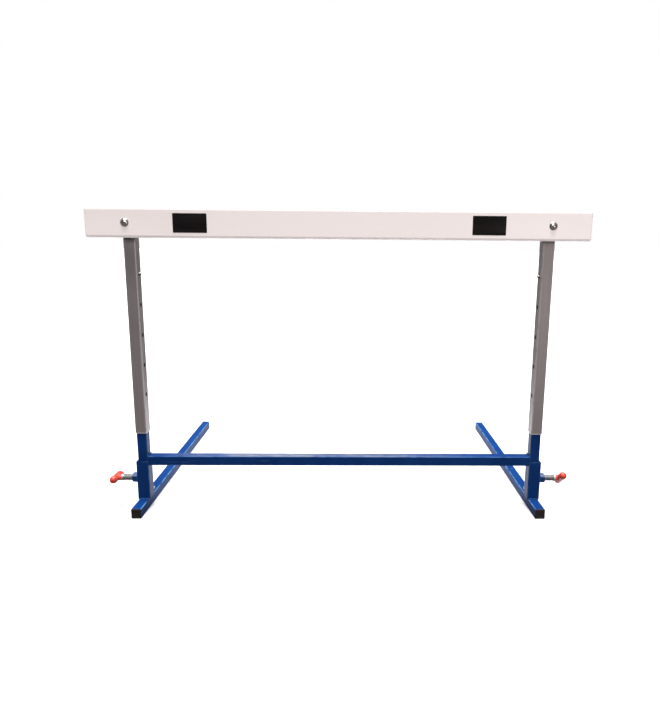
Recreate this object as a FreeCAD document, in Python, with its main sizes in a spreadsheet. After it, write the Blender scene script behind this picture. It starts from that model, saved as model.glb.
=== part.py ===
import FreeCAD, Part
import math
import os

import Sketcher
from FreeCAD import Placement, Rotation, Vector

# Free-standing track hurdle, in millimetres, at its lowest setting.
# X runs along the crossbar and Z is up. The feet run away from the board towards +Y.
# The origin is on the floor, midway between the feet and midway along them.

doc = FreeCAD.newDocument("hurdle")

# Driving dimensions: name, value, meaning
SIZES = [
    ("bar_top", 762, "top of the board above the floor at the lowest setting"),
    ("bar_length", 1200, "board with its end caps"),
    ("bar_height", 70, "height of the board"),
    ("bar_thick", 22, "thickness of the board"),
    ("bar_wall", 3, "wall of the hollow board"),
    ("bar_round", 6, "rounding of the board's long edges"),
    ("rib_offset", 10, "from the board's middle to the middle of a rib"),
    ("rib_thick", 2, "thickness of a rib"),
    ("cap_flange", 7, "end cap, the part that shows"),
    ("cap_round", 5.5, "rounding of an end cap's face"),
    ("cap_lug", 16, "length of an end cap's lugs inside the board"),
    ("plug_gap", 0.2, "room round a plug or lug inside its tube"),
    ("marker_length", 80, "dark marker on the board"),
    ("marker_height", 45, "dark marker on the board"),
    ("marker_thick", 0.4, "dark marker on the board"),
    ("marker_round", 1.5, "corner radius of a marker"),
    ("marker_spread", 706.8, "between the middles of the two markers"),
    ("spread", 1012, "between the middles of the two uprights"),
    ("setback", 75, "from the front ends of the feet to the middle of the uprights"),
    ("pitch", 76.2, "between two height holes"),
    ("stops", 5, "number of height holes"),
    ("button_height", 606, "snap buttons above the floor"),
    ("height_hole", 4.4, "radius of a height hole"),
    ("outer_width", 28.6, "outer upright, a square tube"),
    ("outer_wall", 1.4, "outer upright"),
    ("outer_low", 202, "lower end of the outer uprights at the lowest setting"),
    ("outer_high", 756, "upper end of the outer uprights at the lowest setting"),
    ("inner_width", 25, "inner uprights, cross member and feet, square tubes"),
    ("inner_wall", 1.5, "inner uprights, cross member and feet"),
    ("inner_low", 25.2, "lower end of the inner uprights"),
    ("inner_high", 640, "upper end of the inner uprights"),
    ("tube_round", 2.5, "corner radius outside a square tube"),
    ("bore_round", 1, "corner radius inside a square tube"),
    ("cross_low", 115, "underside of the cross member"),
    ("socket_width", 31.5, "socket, a square tube"),
    ("socket_wall", 1.5, "socket"),
    ("base_shift", 1.55, "from an upright's middle outwards to the middle of its base"),
    ("socket_high", 126, "upper end of the sockets"),
    ("notch_low", 113.5, "floor of the notch that clears the cross member"),
    ("foot_length", 700, "foot with its two plugs"),
    ("plug_flange", 3, "tube plug, the part that shows"),
    ("plug_depth", 14, "tube plug, the part in the tube"),
    ("plug_round", 1.2, "edge rounding of a tube plug"),
    ("bolt_round", 4, "radius of an M8 shank"),
    ("bolt_hole", 4.3, "radius of an M8 clearance hole"),
    ("thread_gap", 0.05, "radial room between a thread and its nut"),
    ("dome_radius", 10, "radius of a board bolt's domed head"),
    ("dome_height", 5, "height of a board bolt's domed head"),
    ("dome_round", 4.6, "rounding of a board bolt's domed head"),
    ("bolt_proud", 4, "thread that stands out of a board bolt's nut"),
    ("nut_flats", 13, "M8 nut or head across its flats"),
    ("nut_height", 6.5, "M8 nut"),
    ("head_height", 5.3, "M8 hexagon head"),
    ("washer_radius", 8, "M8 washer"),
    ("washer_thick", 1.6, "M8 washer"),
    ("spacer_radius", 7, "tube that keeps a board bolt from crushing the board"),
    ("button_radius", 4, "snap button"),
    ("button_proud", 5.5, "snap button beyond the outer upright"),
    ("button_tip", 2.4, "rounding of a snap button's tip"),
    ("flange_radius", 5.5, "head of a snap button inside the tube"),
    ("flange_thick", 1, "head of a snap button inside the tube"),
    ("spring_wide", 12, "leaf spring behind a snap button"),
    ("spring_thick", 0.8, "leaf spring behind a snap button"),
    ("spring_top", 9, "leaf spring above its button's middle"),
    ("spring_leg", 52, "leaf spring below its button's middle"),
    ("spring_bend", 3, "depth of the leaf spring's bend"),
    ("spring_gap", 0.1, "room between the leaf spring, the button and the tube"),
    ("clamp_height", 78, "clamp screws above the floor"),
    ("clamp_flats", 24, "clamp nut across its flats"),
    ("clamp_nut", 14, "height of a clamp nut"),
    ("screw_radius", 8, "clamp screw"),
    ("screw_hole", 8.3, "radius of a socket's hole for its clamp screw"),
    ("pad_radius", 6, "pad at the tip of a clamp screw"),
    ("pad_thick", 3, "pad at the tip of a clamp screw"),
    ("pad_gap", 0.3, "between a pad and the inner upright"),
    ("spigot_radius", 5, "end of a clamp screw inside its grip"),
    ("spigot_length", 17, "end of a clamp screw inside its grip"),
    ("collar_reach", 56, "from the upright's middle to the collar of a grip"),
    ("collar_radius", 9, "collar of a grip"),
    ("collar_thick", 4, "collar of a grip"),
    ("grip_reach", 75, "from the upright's middle to the middle of a grip"),
    ("grip_radius", 10, "grip"),
    ("grip_length", 62, "grip, over its round ends"),
    ("hub_radius", 9, "hub that joins a grip to its screw"),
    ("tilt_left", 4, "left grip, front end up, in degrees"),
    ("tilt_right", 37, "right grip, front end up, in degrees"),
    ("weight_width", 20, "counterweight, a square bar"),
    ("weight_length", 190, "counterweight"),
    ("weight_start", 20, "from the upright's middle to the counterweight"),
    ("weight_bolt", 46, "from the upright's middle to the counterweight's bolt"),
    ("weight_thread", 14.5, "depth of the counterweight's threaded hole"),
    ("weight_shank", 17, "shank of the counterweight's bolt"),
]

sheet = doc.addObject("Spreadsheet::Sheet", "Sizes")
for row, (alias, value, meaning) in enumerate(SIZES, start=1):
    sheet.set(f"A{row}", meaning)
    sheet.set(f"B{row}", str(value))
    sheet.setAlias(f"B{row}", alias)
doc.recompute()

# Formulas that several pieces share
UPRIGHT_Y = "Sizes.setback - Sizes.foot_length / 2"
BAR_Z = "Sizes.bar_top - Sizes.bar_height / 2"
BAR_FRONT_Y = f"{UPRIGHT_Y} - Sizes.outer_width / 2 - Sizes.bar_thick"
SIDES = {"left": -1, "right": 1}

# Turns of a local Z axis onto another axis
ALONG_X = Rotation(Vector(0, 1, 0), 90)
AGAINST_X = Rotation(Vector(0, 1, 0), -90)
ALONG_Y = Rotation(Vector(1, 0, 0), -90)
HALF_TURN = Rotation(Vector(0, 0, 1), 180)

parts = []


def upright_x(side):
    """Formula of an upright's middle."""
    return f"{side} * Sizes.spread / 2"


def base_x(side):
    """Formula of a base's middle. The clamp pushes the upright to the inner wall of its socket."""
    return f"{side} * ( Sizes.spread / 2 + Sizes.base_shift )"


def put(item, x="0", y="0", z="0", turn=Rotation()):
    """Places an object by formulas, turned about its own origin."""
    item.Placement = Placement(Vector(), turn)
    for axis, formula in zip("xyz", (x, y, z)):
        item.setExpression(f"Placement.Base.{axis}", formula)


def new_body(label, **place):
    """Starts a piece that is built from sketches."""
    body = doc.addObject("PartDesign::Body", label)
    body.Label = label
    put(body, **place)
    parts.append(body)
    return body


def add(body, kind, name):
    """Adds a feature to a body."""
    return body.newObject(f"PartDesign::{kind}", f"{body.Label}_{name}")


def sketch_on(body, plane, name, height="0"):
    """Adds a sketch on one of the body's own planes, or at a height above it."""
    support = next(f for f in body.Origin.OriginFeatures if f.Role == f"{plane}_Plane")
    sketch = body.newObject("Sketcher::SketchObject", f"{body.Label}_{name}_sketch")
    sketch.AttachmentSupport = [(support, "")]
    sketch.MapMode = "FlatFace"
    sketch.setExpression("AttachmentOffset.Base.z", height)
    return sketch


def pin(sketch, geometry, point, u, v):
    """Holds a point of a sketch at the formulas u and v from the sketch's origin."""
    for kind, formula, axis in (("DistanceX", u, -2), ("DistanceY", v, -1)):
        if formula == "0":
            sketch.addConstraint(Sketcher.Constraint("PointOnObject", geometry, point, axis))
        else:
            rule = Sketcher.Constraint(kind, -1, 1, geometry, point, 1.0)
            number = sketch.addConstraint(rule)
            sketch.setExpression(f"Constraints[{number}]", formula)


def outline(sketch, corners):
    """Draws a closed outline of straight lines through corners given as formulas."""
    count = len(corners)
    turns = [2 * math.pi * i / count for i in range(count)]
    start = [Vector(10 * math.cos(turn), 10 * math.sin(turn), 0) for turn in turns]
    lines = [
        sketch.addGeometry(Part.LineSegment(start[i], start[(i + 1) % count]))
        for i in range(count)
    ]
    for line, following in zip(lines, lines[1:] + lines[:1]):
        sketch.addConstraint(Sketcher.Constraint("Coincident", line, 2, following, 1))
    for line, (u, v) in zip(lines, corners):
        pin(sketch, line, 1, u, v)


def rectangle(sketch, wide, high, u="0", v="0"):
    """Draws a rectangle with its middle at u, v."""
    left, right = f"{u} - ({wide}) / 2", f"{u} + ({wide}) / 2"
    low, top = f"{v} - ({high}) / 2", f"{v} + ({high}) / 2"
    outline(sketch, [(left, low), (right, low), (right, top), (left, top)])


def circle(sketch, radius, u="0", v="0"):
    """Draws a circle with its middle at u, v."""
    ring = sketch.addGeometry(Part.Circle(Vector(), Vector(0, 0, 1), 3))
    pin(sketch, ring, 3, u, v)
    number = sketch.addConstraint(Sketcher.Constraint("Radius", ring, 3))
    sketch.setExpression(f"Constraints[{number}]", radius)


def hexagon(sketch, flats):
    """Draws a hexagon with a corner on the sketch's vertical axis."""
    side, corner = f"({flats}) / 2", f"({flats}) / 2 / cos(30)"
    half = f"({flats}) / 4 / cos(30)"
    corners = [("0", corner), (f"-{side}", half), (f"-{side}", f"-{half}")]
    corners += [("0", f"-{corner}"), (side, f"-{half}"), (side, half)]
    outline(sketch, corners)


def pad(body, sketch, length, name="pad", both=False, back=False):
    """Raises a sketch by a length, to one side or half to each side."""
    feature = add(body, "Pad", name)
    feature.Profile = sketch
    feature.SideType = "Symmetric" if both else "One side"
    feature.Reversed = back
    feature.setExpression("Length", length)
    return feature


def pocket(body, sketch, name, length=None, both=False, back=False):
    """Cuts a sketch out of a body, right through or to a depth, and checks that it cuts."""
    doc.recompute()
    before = body.Shape.Volume
    feature = add(body, "Pocket", name)
    feature.Profile = sketch
    feature.SideType = "Symmetric" if both else "One side"
    feature.Reversed = back
    if length is None:
        feature.Type = "ThroughAll"
    else:
        feature.setExpression("Length", length)
    doc.recompute()
    if body.Shape.Volume > before - 1:
        raise RuntimeError(f"{feature.Label} cuts nothing")
    return feature


def dress(body, kind, amount, chosen, name):
    """Rounds or bevels the edges of a body that a test on the edge picks out."""
    doc.recompute()
    base = body.Tip
    names = [f"Edge{i}" for i, edge in enumerate(base.Shape.Edges, start=1) if chosen(edge)]
    if not names:
        raise RuntimeError(f"{body.Label} {name}: no edge chosen")
    feature = add(body, kind, name)
    feature.Base = (base, names)
    feature.setExpression("Radius" if kind == "Fillet" else "Size", amount)


def straight(edge, axis):
    """Whether an edge is straight and runs along a local axis."""
    if not isinstance(edge.Curve, Part.Line):
        return False
    return abs(edge.Curve.Direction.dot(axis)) > 0.999


def sharp_corner(edge):
    """Whether an edge is an unrounded corner of a square section round the local Z axis."""
    place = edge.CenterOfMass
    return straight(edge, Vector(0, 0, 1)) and abs(abs(place.x) - abs(place.y)) < 0.001


def rim(body, axis, top=True):
    """Test for the edges at a body's far or near end along "x", "y" or "z"."""
    doc.recompute()
    low, high = f"{axis.upper()}Min", f"{axis.upper()}Max"
    level = getattr(body.Tip.Shape.BoundBox, high if top else low)

    def chosen(edge):
        box = edge.BoundBox
        return abs(getattr(box, low) - level) + abs(getattr(box, high) - level) < 0.001

    return chosen


def square_tube(label, wide, wall, length, **place):
    """Makes a square tube along its local Z axis, with rounded corners inside and out."""
    body = new_body(label, **place)
    section = sketch_on(body, "XY", "section")
    bore = f"{wide} - 2 * {wall}"
    rectangle(section, wide, wide)
    rectangle(section, bore, bore)
    pad(body, section, length)
    doc.recompute()
    half = body.Tip.Shape.BoundBox.XMax

    def outer_corner(edge):
        return sharp_corner(edge) and abs(edge.CenterOfMass.x) > half - 0.1

    dress(body, "Fillet", "Sizes.tube_round", outer_corner, "corners")
    dress(body, "Fillet", "Sizes.bore_round", sharp_corner, "bore")
    return body


def tube_plug(label, wide, wall, **place):
    """Makes a tube's plug: a flange above the local XY plane and a hollow cup below it."""
    body = new_body(label, **place)
    flange = sketch_on(body, "XY", "flange")
    rectangle(flange, wide, wide)
    pad(body, flange, "Sizes.plug_flange", "flange")
    dress(body, "Fillet", "Sizes.tube_round", sharp_corner, "corners")
    dress(body, "Fillet", "Sizes.plug_round", rim(body, "z"), "rim")
    cup = sketch_on(body, "XY", "cup")
    outer = f"{wide} - 2 * {wall} - 2 * Sizes.plug_gap"
    inner = f"{outer} - 4 * Sizes.plug_round"
    rectangle(cup, outer, outer)
    rectangle(cup, inner, inner)
    pad(body, cup, "Sizes.plug_depth", "cup", back=True)
    dress(body, "Fillet", "Sizes.bore_round", sharp_corner, "cup_corners")


def hexagon_pad(body, flats, height, name):
    """Raises a hexagon from the local XY plane and bevels its corners at the top."""
    face = sketch_on(body, "XY", name)
    hexagon(face, flats)
    pad(body, face, height, name)
    bevel = sketch_on(body, "XZ", f"{name}_bevel")
    near, far = f"{flats} * 0.47", f"{flats} * 0.65"
    drop = f"{height} - {flats} * 0.18 * tan(30)"
    outline(bevel, [(near, height), (far, drop), (far, height)])
    cut = add(body, "Groove", f"{name}_groove")
    cut.Profile = bevel
    cut.ReferenceAxis = (bevel, ["V_Axis"])
    cut.Angle = 360


def disc(label, radius, thick, bore=None, **place):
    """Makes a round piece along its local Z axis, with a bore if one is given."""
    body = new_body(label, **place)
    face = sketch_on(body, "XY", "face")
    circle(face, radius)
    if bore is not None:
        circle(face, bore)
    pad(body, face, thick)
    return body


# The board is a hollow extrusion with two ribs, closed by a cap at each end.
CELL_TOP = "( Sizes.bar_height / 2 - Sizes.bar_wall )"
CELL_LOW = "( Sizes.rib_offset + Sizes.rib_thick / 2 )"
CELLS = [
    ("2 * Sizes.rib_offset - Sizes.rib_thick", "0"),
    (f"{CELL_TOP} - {CELL_LOW}", f"( {CELL_TOP} + {CELL_LOW} ) / 2"),
    (f"{CELL_TOP} - {CELL_LOW}", f"-( {CELL_TOP} + {CELL_LOW} ) / 2"),
]
CELL_WIDE = "Sizes.bar_thick - 2 * Sizes.bar_wall"
BAR_MIDDLE_Y = f"{BAR_FRONT_Y} + Sizes.bar_thick / 2"


def make_board():
    body = new_body("crossbar_board", y=BAR_MIDDLE_Y, z=BAR_Z)
    section = sketch_on(body, "YZ", "section")
    rectangle(section, "Sizes.bar_thick", "Sizes.bar_height")
    for high, middle in CELLS:
        rectangle(section, CELL_WIDE, high, v=middle)
    pad(body, section, "Sizes.bar_length - 2 * Sizes.cap_flange", both=True)
    half = sheet.bar_height / 2

    def long_edge(edge):
        return straight(edge, Vector(1, 0, 0)) and abs(edge.CenterOfMass.z) > half - 0.01

    dress(body, "Fillet", "Sizes.bar_round", long_edge, "edges")
    holes = sketch_on(body, "XZ", "bolts")
    for side in SIDES.values():
        circle(holes, "Sizes.bolt_hole", u=upright_x(side))
    pocket(body, holes, "bolts", both=True)


def make_end_cap(name, side):
    turn = Rotation() if side > 0 else HALF_TURN
    reach = f"{side} * ( Sizes.bar_length / 2 - Sizes.cap_flange )"
    body = new_body(f"end_cap_{name}", x=reach, y=BAR_MIDDLE_Y, z=BAR_Z, turn=turn)
    flange = sketch_on(body, "YZ", "flange")
    rectangle(flange, "Sizes.bar_thick", "Sizes.bar_height")
    pad(body, flange, "Sizes.cap_flange", "flange")
    dress(body, "Fillet", "Sizes.bar_round", lambda e: straight(e, Vector(1, 0, 0)), "corners")
    dress(body, "Fillet", "Sizes.cap_round", rim(body, "x"), "rim")
    lugs = sketch_on(body, "YZ", "lugs")
    for high, middle in CELLS:
        gap = "2 * Sizes.plug_gap"
        rectangle(lugs, f"{CELL_WIDE} - {gap}", f"{high} - {gap}", v=middle)
    pad(body, lugs, "Sizes.cap_lug", "lugs", back=True)


def make_marker(name, side):
    across = f"{side} * Sizes.marker_spread / 2"
    body = new_body(f"marker_{name}", x=across, y=BAR_FRONT_Y, z=BAR_Z)
    patch = sketch_on(body, "XZ", "patch")
    rectangle(patch, "Sizes.marker_length", "Sizes.marker_height")
    pad(body, patch, "Sizes.marker_thick")
    dress(body, "Fillet", "Sizes.marker_round", lambda e: straight(e, Vector(0, 1, 0)), "corners")


# A domed bolt holds the board on each outer upright, with a washer and a nut behind.
BOLT_GRIP = "Sizes.bar_thick + Sizes.outer_width"


def make_bar_bolt(name, side):
    across = upright_x(side)
    bolt = disc(
        f"bar_bolt_{name}",
        "Sizes.bolt_round",
        f"{BOLT_GRIP} + Sizes.washer_thick + Sizes.nut_height + Sizes.bolt_proud",
        x=across,
        y=BAR_FRONT_Y,
        z=BAR_Z,
        turn=ALONG_Y,
    )
    dress(bolt, "Chamfer", "Sizes.plug_round", rim(bolt, "z"), "point")
    head = sketch_on(bolt, "XY", "head")
    circle(head, "Sizes.dome_radius")
    pad(bolt, head, "Sizes.dome_height", "head", back=True)
    dress(bolt, "Fillet", "Sizes.dome_round", rim(bolt, "z", top=False), "dome")
    disc(
        f"bar_spacer_{name}",
        "Sizes.spacer_radius",
        CELL_WIDE,
        "Sizes.bolt_hole",
        x=across,
        y=f"{BAR_FRONT_Y} + Sizes.bar_wall",
        z=BAR_Z,
        turn=ALONG_Y,
    )
    back = f"{BAR_FRONT_Y} + {BOLT_GRIP}"
    disc(
        f"bar_washer_{name}",
        "Sizes.washer_radius",
        "Sizes.washer_thick",
        "Sizes.bolt_hole",
        x=across,
        y=back,
        z=BAR_Z,
        turn=ALONG_Y,
    )
    behind = f"{back} + Sizes.washer_thick"
    nut = new_body(f"bar_nut_{name}", x=across, y=behind, z=BAR_Z, turn=ALONG_Y)
    hexagon_pad(nut, "Sizes.nut_flats", "Sizes.nut_height", "hexagon")
    thread = sketch_on(nut, "XY", "thread")
    circle(thread, "Sizes.bolt_round + Sizes.thread_gap")
    pocket(nut, thread, "thread", both=True)


# The outer uprights carry the board and slide over the inner ones.
# A row of height holes runs down the side that faces the other upright.
def make_outer_upright(name, side):
    tube = square_tube(
        f"outer_upright_{name}",
        "Sizes.outer_width",
        "Sizes.outer_wall",
        "Sizes.outer_high - Sizes.outer_low",
        x=upright_x(side),
        y=UPRIGHT_Y,
        z="Sizes.outer_low",
    )
    bolt = sketch_on(tube, "XZ", "bolt")
    circle(bolt, "Sizes.bolt_hole", v=f"{BAR_Z} - Sizes.outer_low")
    pocket(tube, bolt, "bolt", both=True)
    hole = sketch_on(tube, "YZ", "hole")
    circle(hole, "Sizes.height_hole", v="Sizes.button_height - Sizes.outer_low")
    cut = pocket(tube, hole, "hole", back=side < 0)
    row = add(tube, "LinearPattern", "holes")
    row.Originals = [cut]
    row.Direction = (hole, ["V_Axis"])
    row.Reversed = True
    row.Mode = "Spacing"
    row.setExpression("Offset", "Sizes.pitch")
    row.setExpression("Occurrences", "Sizes.stops")
    tube.Tip = row
    tube_plug(
        f"top_cap_{name}",
        "Sizes.outer_width",
        "Sizes.outer_wall",
        x=upright_x(side),
        y=UPRIGHT_Y,
        z="Sizes.outer_high",
    )


# The lower frame is two inner uprights joined by a welded cross member.
def make_inner_upright(name, side):
    tube = square_tube(
        f"inner_upright_{name}",
        "Sizes.inner_width",
        "Sizes.inner_wall",
        "Sizes.inner_high - Sizes.inner_low",
        x=upright_x(side),
        y=UPRIGHT_Y,
        z="Sizes.inner_low",
    )
    hole = sketch_on(tube, "YZ", "hole")
    circle(hole, "Sizes.height_hole", v="Sizes.button_height - Sizes.inner_low")
    pocket(tube, hole, "hole", back=side < 0)
    tube_plug(
        f"guide_plug_{name}",
        "Sizes.inner_width",
        "Sizes.inner_wall",
        x=upright_x(side),
        y=UPRIGHT_Y,
        z="Sizes.inner_high",
    )


def make_cross_member():
    square_tube(
        "cross_member",
        "Sizes.inner_width",
        "Sizes.inner_wall",
        "Sizes.spread - Sizes.inner_width",
        x="-( Sizes.spread - Sizes.inner_width ) / 2",
        y=UPRIGHT_Y,
        z="Sizes.cross_low + Sizes.inner_width / 2",
        turn=ALONG_X,
    )


# A leaf spring in each inner upright pushes a button out through both tubes.
BORE_HALF = "( Sizes.inner_width / 2 - Sizes.inner_wall )"


def make_snap_button(name, side):
    body = disc(
        f"snap_button_{name}",
        "Sizes.button_radius",
        f"Sizes.outer_width / 2 - {BORE_HALF} + Sizes.button_proud + Sizes.spring_gap",
        x=f"{upright_x(side)} - {side} * ( {BORE_HALF} - Sizes.spring_gap )",
        y=UPRIGHT_Y,
        z="Sizes.button_height",
        turn=ALONG_X if side < 0 else AGAINST_X,
    )
    dress(body, "Fillet", "Sizes.button_tip", rim(body, "z"), "tip")
    head = sketch_on(body, "XY", "head")
    circle(head, "Sizes.flange_radius")
    pad(body, head, "Sizes.flange_thick", "head", back=True)


def make_snap_spring(name, side):
    """A bent strip: one leg behind the button, the other against the tube's far wall."""
    turn = Rotation() if side < 0 else HALF_TURN
    body = new_body(
        f"snap_spring_{name}", x=upright_x(side), y=UPRIGHT_Y, z="Sizes.button_height", turn=turn
    )
    thick, low = "Sizes.spring_thick", "-Sizes.spring_leg"
    face = f"( {BORE_HALF} - Sizes.flange_thick - 2 * Sizes.spring_gap )"
    wall = f"-( {BORE_HALF} - Sizes.spring_gap )"
    foot = f"{low} - Sizes.spring_bend"
    strip = sketch_on(body, "XZ", "strip")
    outline(
        strip,
        [
            (face, "Sizes.spring_top"),
            (face, low),
            (f"{face} - Sizes.spring_bend", foot),
            (f"-Sizes.spring_bend", foot),
            (f"-2 * Sizes.spring_bend", low),
            (wall, "Sizes.spring_top"),
            (f"{wall} + {thick}", "Sizes.spring_top"),
            (f"{thick} - 2 * Sizes.spring_bend", low),
            (f"{thick} / 2 - Sizes.spring_bend", f"{foot} + {thick}"),
            (f"{face} - Sizes.spring_bend - {thick} / 2", f"{foot} + {thick}"),
            (f"{face} - {thick}", low),
            (f"{face} - {thick}", "Sizes.spring_top"),
        ],
    )
    pad(body, strip, "Sizes.spring_wide", both=True)


# Each base is a foot with a socket welded on top. The inner upright drops into the socket.
def make_base(name, side):
    foot = square_tube(
        f"foot_tube_{name}",
        "Sizes.inner_width",
        "Sizes.inner_wall",
        "Sizes.foot_length - 2 * Sizes.plug_flange",
        x=base_x(side),
        y="Sizes.plug_flange - Sizes.foot_length / 2",
        z="Sizes.inner_width / 2",
        turn=ALONG_Y,
    )
    bolt = sketch_on(foot, "XZ", "bolt")
    circle(bolt, "Sizes.bolt_hole", v="Sizes.setback + Sizes.weight_bolt - Sizes.plug_flange")
    pocket(foot, bolt, "bolt", back=True)
    for end, way in (("front", 1), ("rear", -1)):
        tube_plug(
            f"foot_plug_{end}_{name}",
            "Sizes.inner_width",
            "Sizes.inner_wall",
            x=base_x(side),
            y=f"{way} * ( Sizes.plug_flange - Sizes.foot_length / 2 )",
            z="Sizes.inner_width / 2",
            turn=Rotation(Vector(1, 0, 0), 90 * way),
        )
    socket = square_tube(
        f"socket_{name}",
        "Sizes.socket_width",
        "Sizes.socket_wall",
        "Sizes.socket_high - Sizes.inner_width",
        x=base_x(side),
        y=UPRIGHT_Y,
        z="Sizes.inner_width",
    )
    screw = sketch_on(socket, "YZ", "screw")
    circle(screw, "Sizes.screw_hole", v="Sizes.clamp_height - Sizes.inner_width")
    pocket(socket, screw, "screw", back=side > 0)
    notch = sketch_on(socket, "YZ", "notch")
    bore = "Sizes.socket_width - 2 * Sizes.socket_wall"
    deep = "( Sizes.socket_high - Sizes.notch_low )"
    middle = f"Sizes.socket_high - Sizes.inner_width - {deep} / 2"
    rectangle(notch, bore, deep, v=middle)
    pocket(socket, notch, "notch", back=side < 0)


def make_counterweight(name, side):
    body = new_body(
        f"counterweight_{name}",
        x=base_x(side),
        y=f"{UPRIGHT_Y} + Sizes.weight_start",
        z="Sizes.inner_wall",
    )
    block = sketch_on(body, "XZ", "end")
    rectangle(block, "Sizes.weight_width", "Sizes.weight_width", v="Sizes.weight_width / 2")
    pad(body, block, "Sizes.weight_length", back=True)
    hole = sketch_on(body, "XY", "thread", "Sizes.weight_width")
    across = "Sizes.weight_bolt - Sizes.weight_start"
    circle(hole, "Sizes.bolt_round + Sizes.thread_gap", v=across)
    pocket(body, hole, "thread", "Sizes.weight_thread")
    bolt = new_body(
        f"counterweight_bolt_{name}",
        x=base_x(side),
        y=f"{UPRIGHT_Y} + Sizes.weight_bolt",
        z="Sizes.inner_width",
    )
    hexagon_pad(bolt, "Sizes.nut_flats", "Sizes.head_height", "head")
    shank = sketch_on(bolt, "XY", "shank")
    circle(shank, "Sizes.bolt_round")
    pad(bolt, shank, "Sizes.weight_shank", "shank", back=True)


# A screw with a T grip runs in a nut welded on the socket's outer face.
# Its pad presses on the inner upright.
SOCKET_FACE = "Sizes.spread / 2 + Sizes.base_shift + Sizes.socket_width / 2"
PAD_FACE = "Sizes.spread / 2 + Sizes.inner_width / 2 + Sizes.pad_gap"


def make_clamp(name, side):
    outward = ALONG_X if side > 0 else AGAINST_X
    level = {"y": UPRIGHT_Y, "z": "Sizes.clamp_height", "turn": outward}
    nut = new_body(f"clamp_nut_{name}", x=f"{side} * ( {SOCKET_FACE} )", **level)
    nut.Placement = Placement(Vector(), outward * Rotation(Vector(0, 0, 1), 90))
    hexagon_pad(nut, "Sizes.clamp_flats", "Sizes.clamp_nut", "hexagon")
    thread = sketch_on(nut, "XY", "thread")
    circle(thread, "Sizes.screw_radius + Sizes.thread_gap")
    pocket(nut, thread, "thread", both=True)
    disc(
        f"clamp_pad_{name}",
        "Sizes.pad_radius",
        "Sizes.pad_thick",
        x=f"{side} * ( {PAD_FACE} )",
        **level,
    )
    start = f"( {PAD_FACE} + Sizes.pad_thick )"
    end = "( Sizes.spread / 2 + Sizes.collar_reach + Sizes.collar_thick )"
    screw = disc(
        f"clamp_screw_{name}",
        "Sizes.screw_radius",
        f"{end} - {start}",
        x=f"{side} * {start}",
        **level,
    )
    spigot = sketch_on(screw, "XY", "spigot", f"{end} - {start}")
    circle(spigot, "Sizes.spigot_radius")
    pad(screw, spigot, "Sizes.spigot_length", "spigot")
    disc(
        f"clamp_collar_{name}",
        "Sizes.collar_radius",
        "Sizes.collar_thick",
        "Sizes.screw_radius + Sizes.thread_gap",
        x=f"{side} * ( Sizes.spread / 2 + Sizes.collar_reach )",
        **level,
    )


def make_grip(name, side):
    """A round-ended bar across the screw, with a hub that takes the screw's end."""
    label = f"clamp_grip_{name}"
    shaft = "Sizes.grip_length - 2 * Sizes.grip_radius"
    bar = doc.addObject("Part::Cylinder", f"{label}_bar")
    bar.setExpression("Radius", "Sizes.grip_radius")
    bar.setExpression("Height", shaft)
    put(bar, y=f"-( {shaft} ) / 2", turn=ALONG_Y)
    ends = []
    for way in (-1, 1):
        end = doc.addObject("Part::Sphere", f"{label}_end")
        end.setExpression("Radius", "Sizes.grip_radius")
        put(end, y=f"{way} * ( {shaft} ) / 2")
        ends.append(end)
    reach = "( Sizes.grip_reach - Sizes.collar_reach - Sizes.collar_thick )"
    hub = doc.addObject("Part::Cylinder", f"{label}_hub")
    hub.setExpression("Radius", "Sizes.hub_radius")
    hub.setExpression("Height", reach)
    put(hub, x=f"-{reach}", turn=ALONG_X)
    solid = doc.addObject("Part::MultiFuse", f"{label}_solid")
    solid.Shapes = [bar, hub, *ends]
    hole = doc.addObject("Part::Cylinder", f"{label}_hole")
    hole.setExpression("Radius", "Sizes.spigot_radius + Sizes.thread_gap")
    hole.setExpression("Height", "Sizes.spigot_length")
    put(hole, x=f"-{reach}", turn=ALONG_X)
    grip = doc.addObject("Part::Cut", label)
    grip.Base, grip.Tool = solid, hole
    grip.Label = label
    turn = Rotation(Vector(1, 0, 0), -getattr(sheet, f"tilt_{name}"))
    if side < 0:
        turn = turn * HALF_TURN
    x = f"{side} * ( Sizes.spread / 2 + Sizes.grip_reach )"
    put(grip, x=x, y=UPRIGHT_Y, z="Sizes.clamp_height", turn=turn)
    parts.append(grip)


make_board()
make_cross_member()
for name, side in SIDES.items():
    make_end_cap(name, side)
    make_marker(name, side)
    make_bar_bolt(name, side)
    make_outer_upright(name, side)
    make_inner_upright(name, side)
    make_snap_button(name, side)
    make_snap_spring(name, side)
    make_base(name, side)
    make_counterweight(name, side)
    make_clamp(name, side)
    make_grip(name, side)
doc.recompute()

for item in doc.Objects:
    if "Invalid" in item.State or "Error" in item.State:
        raise RuntimeError(f"{item.Label} failed: {item.State}")
for part in parts:
    if part.Shape.isNull() or not part.Shape.isValid() or len(part.Shape.Solids) != 1:
        raise RuntimeError(f"{part.Label} has no valid solid")

os.makedirs("parts", exist_ok=True)
for part in parts:
    part.Shape.exportStep(f"parts/{part.Label}.step")
print(len(parts), "parts written")
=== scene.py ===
import math

import bmesh
import bpy
from mathutils import Matrix, Vector


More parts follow.
